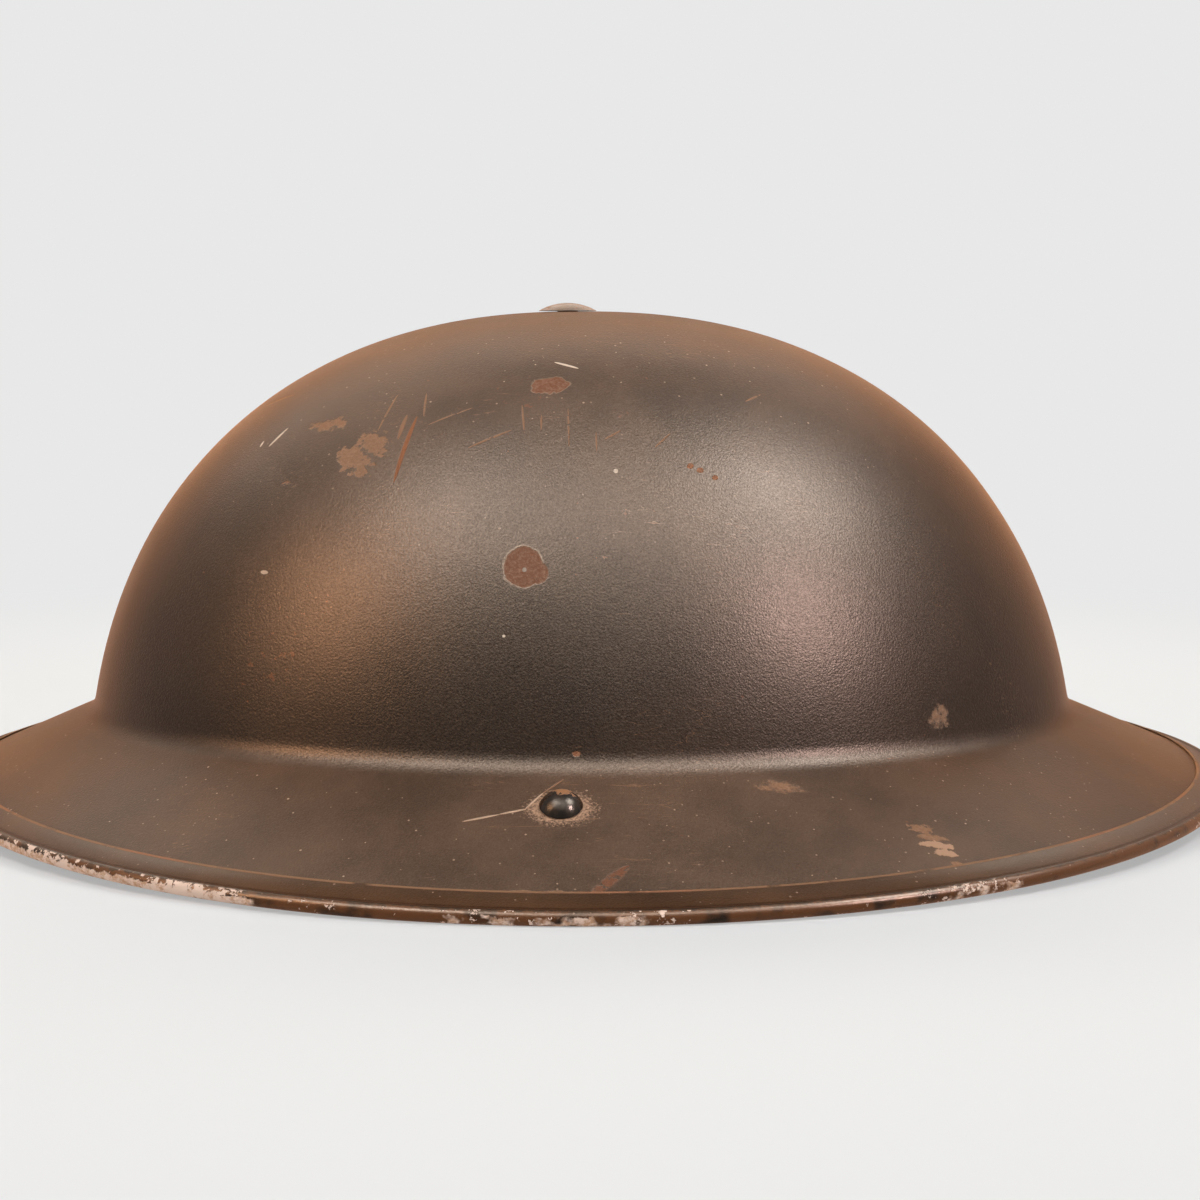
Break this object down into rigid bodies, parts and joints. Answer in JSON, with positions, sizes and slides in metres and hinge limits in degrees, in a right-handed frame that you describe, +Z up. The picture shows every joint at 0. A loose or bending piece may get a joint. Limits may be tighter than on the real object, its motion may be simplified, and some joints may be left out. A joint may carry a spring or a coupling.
{
  "type": "fire warden helmet",
  "caption": "Steel brimmed helmet with shallow oval dome, folded rim strip, riveted strap lugs, fibre liner on rubber buffers and a swinging buckled chin strap.",
  "frame": {"origin": "middle of the rim, on the table that the rim's lowest points stand on", "axes": "+X to the front of the helmet, +Y to the wearer's left, +Z up"},
  "size_m": [0.312, 0.292, 0.1186],
  "materials": {
    "shell_paint": "worn satin black-brown paint with a fine sandy texture",
    "strip_paint": "worn satin paint, chipped to primer on the bead",
    "fastener_paint": "satin paint",
    "rivet_paint": "glossy black paint rubbed on top",
    "plain_steel": "dull steel",
    "brass": "dull aged brass",
    "black_rubber": "matt",
    "fibre": "vulcanised fibre sheet, satin",
    "oilcloth": "black oilcloth, soft sheen",
    "webbing": "khaki cotton webbing"
  },
  "bodies": {
    "helmet": {"shell": "shell_paint", "rim_strip": "strip_paint", "crown_screw": "fastener_paint", "crown_spacer": "black_rubber", "crown_plate": "plain_steel", "crown_nut": "brass", "long_crown_strap": "fibre", "cross_crown_strap": "fibre", "crown_pad": "oilcloth", "headband": "fibre", "sweatband": "oilcloth", "crown_strap_rivets": "brass", "buffer_rivets": "brass", "lug_left": "fastener_paint", "lug_right": "fastener_paint", "lug_rivet_left": "rivet_paint", "lug_rivet_right": "rivet_paint", "buffer_1": "black_rubber", "buffer_2": "black_rubber", "buffer_3": "black_rubber", "buffer_4": "black_rubber", "buffer_5": "black_rubber", "buffer_6": "black_rubber", "buffer_7": "black_rubber", "buffer_8": "black_rubber", "buffer_9": "black_rubber", "buffer_10": "black_rubber", "buffer_11": "black_rubber", "buffer_12": "black_rubber"},
    "loop_left": {"strap_loop_left": "plain_steel"},
    "loop_right": {"strap_loop_right": "plain_steel"},
    "strap_left": {"chin_strap_left": "webbing"},
    "strap_right": {"chin_strap_right": "webbing", "strap_tip": "brass"},
    "buckle": {"buckle_frame": "brass"},
    "tongue": {"buckle_tongue": "brass"}
  },
  "joints": [
    {"name": "loop_left_swing", "type": "hinge", "parent": "helmet", "child": "loop_left", "pos_m": [-0.0042, 0.10393, 0.01756], "axis": [1, 0, 0], "range_deg": [-10, 60]},
    {"name": "loop_right_swing", "type": "hinge", "parent": "helmet", "child": "loop_right", "pos_m": [-0.0042, -0.10393, 0.01756], "axis": [-1, 0, 0], "range_deg": [-10, 60]},
    {"name": "strap_left_swing", "type": "hinge", "parent": "loop_left", "child": "strap_left", "pos_m": [-0.0042, 0.09772, 0.0036], "axis": [1, 0, 0], "range_deg": [-8, 95]},
    {"name": "strap_right_swing", "type": "hinge", "parent": "loop_right", "child": "strap_right", "pos_m": [-0.0042, -0.09772, 0.0036], "axis": [-1, 0, 0], "range_deg": [-8, 95]},
    {"name": "buckle_tilt", "type": "hinge", "parent": "strap_left", "child": "buckle", "pos_m": [0.00622, 0.02463, 0.0036], "axis": [-0.9848, -0.1736, 0], "range_deg": [-25, 60]},
    {"name": "tongue_lift", "type": "hinge", "parent": "buckle", "child": "tongue", "pos_m": [0.00622, 0.02463, 0.0036], "axis": [-0.9848, -0.1736, 0], "range_deg": [0, 80]}
  ]
}
